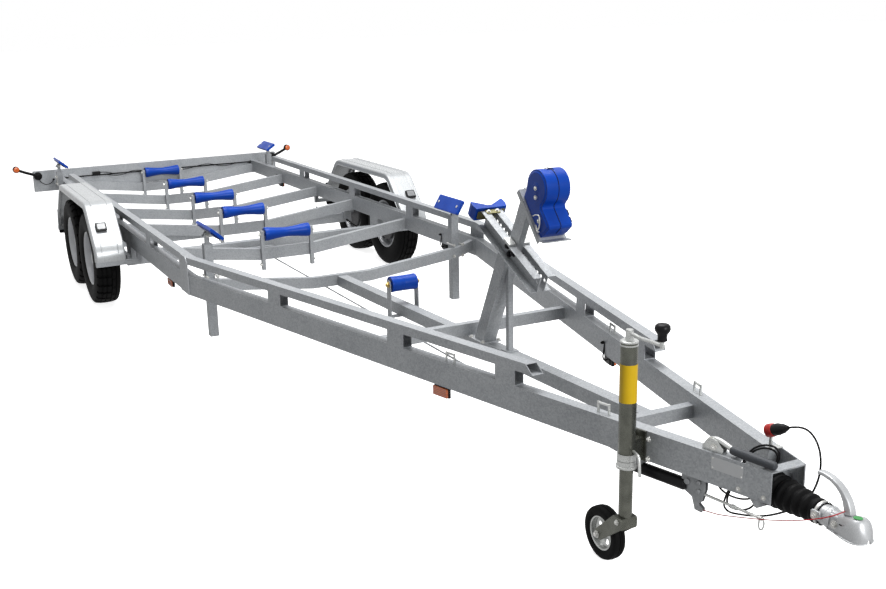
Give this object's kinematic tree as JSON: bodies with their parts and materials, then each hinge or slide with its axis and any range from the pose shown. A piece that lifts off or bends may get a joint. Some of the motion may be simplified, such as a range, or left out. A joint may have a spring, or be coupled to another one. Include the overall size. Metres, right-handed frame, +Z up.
{
  "type": "boat trailer",
  "caption": "Long tandem-axle boat trailer with a drawn-in frame, keel rollers, tilting hull pads, a winch stand and a jockey wheel.",
  "frame": {"origin": "on the ground under the middle of the overall length, on the middle plane", "axes": "+X forward to the coupling, +Y to the left, +Z up"},
  "size_m": [8.6371, 2.66, 1.3091],
  "materials": {
    "galvanised": "hot-dip galvanised, dull with spangle",
    "roller_blue": "moulded blue plastic",
    "tyre": "black rubber",
    "rim_steel": "silver grey",
    "black_rubber": "matt black",
    "black_plastic": "satin black",
    "zinc_bright": "bright zinc plated",
    "lamp_red": "clear red lens",
    "lamp_amber": "clear amber lens",
    "cable_black": "matt black sheath",
    "cable_red": "red sheath"
  },
  "bodies": {
    "trailer_frame": {"axles": "galvanised", "bellows": "black_rubber", "bend_plates": "galvanised", "bow_snubber": "roller_blue", "brake_linkage": "zinc_bright", "breakaway_cable": "cable_red", "coupling_head": "zinc_bright", "cross_beams": "galvanised", "guard_rail_left": "galvanised", "guard_rail_right": "galvanised", "guard_spacers": "galvanised", "jockey_clamp": "galvanised", "jockey_crank": "zinc_bright", "jockey_tube": "zinc_bright", "keel_beams": "galvanised", "lashing_loops": "zinc_bright", "main_rail_left": "galvanised", "main_rail_right": "galvanised", "marker_lamps": "lamp_amber", "mudguard_left": "galvanised", "mudguard_right": "galvanised", "mudguard_stays": "galvanised", "outline_lamps": "black_rubber", "overrun_housing": "galvanised", "pad_posts": "galvanised", "plug": "black_plastic", "plug_cable": "cable_black", "rear_beam": "galvanised", "roller_brackets": "galvanised", "spine": "galvanised", "spine_fork": "galvanised", "tail_lamps": "lamp_red", "winch_channels": "galvanised", "winch_housing": "roller_blue", "winch_mount": "galvanised", "winch_post": "galvanised", "winch_strut": "galvanised", "wiring_harness": "cable_black"},
    "wheel_front_left": {"tyre_front_left": "tyre", "rim_front_left": "rim_steel"},
    "wheel_front_right": {"tyre_front_right": "tyre", "rim_front_right": "rim_steel"},
    "wheel_rear_left": {"tyre_rear_left": "tyre", "rim_rear_left": "rim_steel"},
    "wheel_rear_right": {"tyre_rear_right": "tyre", "rim_rear_right": "rim_steel"},
    "keel_roller_1_body": {"keel_roller_1": "roller_blue"},
    "keel_roller_2_body": {"keel_roller_2": "roller_blue"},
    "keel_roller_3_body": {"keel_roller_3": "roller_blue"},
    "keel_roller_4_body": {"keel_roller_4": "roller_blue"},
    "keel_roller_5_body": {"keel_roller_5": "roller_blue"},
    "spine_roller_body": {"spine_roller": "roller_blue"},
    "pad_rear_left": {"hull_pad_rear_left": "roller_blue"},
    "pad_rear_right": {"hull_pad_rear_right": "roller_blue"},
    "pad_front_left": {"hull_pad_front_left": "roller_blue"},
    "pad_front_right": {"hull_pad_front_right": "roller_blue"},
    "jockey_slider": {"jockey_inner": "zinc_bright"},
    "jockey_swivel": {"jockey_fork": "zinc_bright"},
    "jockey_wheel": {"jockey_tyre": "tyre", "jockey_rim": "rim_steel"}
  },
  "joints": [
    {"name": "wheel_front_left_spin", "type": "hinge", "parent": "trailer_frame", "child": "wheel_front_left", "pos_m": [-1.4, 1.129, 0.32], "axis": [0, 1, 0], "continuous": true},
    {"name": "wheel_front_right_spin", "type": "hinge", "parent": "trailer_frame", "child": "wheel_front_right", "pos_m": [-1.4, -1.129, 0.32], "axis": [0, 1, 0], "continuous": true},
    {"name": "wheel_rear_left_spin", "type": "hinge", "parent": "trailer_frame", "child": "wheel_rear_left", "pos_m": [-2.055, 1.129, 0.32], "axis": [0, 1, 0], "continuous": true},
    {"name": "wheel_rear_right_spin", "type": "hinge", "parent": "trailer_frame", "child": "wheel_rear_right", "pos_m": [-2.055, -1.129, 0.32], "axis": [0, 1, 0], "continuous": true},
    {"name": "keel_roller_1_spin", "type": "hinge", "parent": "trailer_frame", "child": "keel_roller_1_body", "pos_m": [-4.1675, 0, 0.496], "axis": [0, 1, 0], "continuous": true},
    {"name": "keel_roller_2_spin", "type": "hinge", "parent": "trailer_frame", "child": "keel_roller_2_body", "pos_m": [-3.2975, 0, 0.496], "axis": [0, 1, 0], "continuous": true},
    {"name": "keel_roller_3_spin", "type": "hinge", "parent": "trailer_frame", "child": "keel_roller_3_body", "pos_m": [-2.4225, 0, 0.496], "axis": [0, 1, 0], "continuous": true},
    {"name": "keel_roller_4_spin", "type": "hinge", "parent": "trailer_frame", "child": "keel_roller_4_body", "pos_m": [-1.6425, 0, 0.496], "axis": [0, 1, 0], "continuous": true},
    {"name": "keel_roller_5_spin", "type": "hinge", "parent": "trailer_frame", "child": "keel_roller_5_body", "pos_m": [-0.6755, 0, 0.496], "axis": [0, 1, 0], "continuous": true},
    {"name": "spine_roller_spin", "type": "hinge", "parent": "trailer_frame", "child": "spine_roller_body", "pos_m": [1.1585, 0, 0.526], "axis": [0, 1, 0], "continuous": true},
    {"name": "pad_rear_left_tilt", "type": "hinge", "parent": "trailer_frame", "child": "pad_rear_left", "pos_m": [-3.8975, 0.9773, 0.66], "axis": [1, 0, 0], "range_deg": [-20, 20]},
    {"name": "pad_rear_right_tilt", "type": "hinge", "parent": "trailer_frame", "child": "pad_rear_right", "pos_m": [-3.8975, -0.9773, 0.66], "axis": [1, 0, 0], "range_deg": [-20, 20]},
    {"name": "pad_front_left_tilt", "type": "hinge", "parent": "trailer_frame", "child": "pad_front_left", "pos_m": [0.2372, 0.8, 0.72], "axis": [1, 0, 0], "range_deg": [-20, 20]},
    {"name": "pad_front_right_tilt", "type": "hinge", "parent": "trailer_frame", "child": "pad_front_right", "pos_m": [0.2372, -0.8, 0.72], "axis": [1, 0, 0], "range_deg": [-20, 20]},
    {"name": "jockey_slide", "type": "slide", "parent": "trailer_frame", "child": "jockey_slider", "axis": [0, 0, 1], "range_m": [0, 0.08]},
    {"name": "jockey_swivel_turn", "type": "hinge", "parent": "jockey_slider", "child": "jockey_swivel", "pos_m": [3.4965, -0.262, 0.2], "axis": [0, 0, 1], "continuous": true},
    {"name": "jockey_wheel_spin", "type": "hinge", "parent": "jockey_swivel", "child": "jockey_wheel", "pos_m": [3.3785, -0.262, 0.1], "axis": [0, 1, 0], "continuous": true}
  ]
}
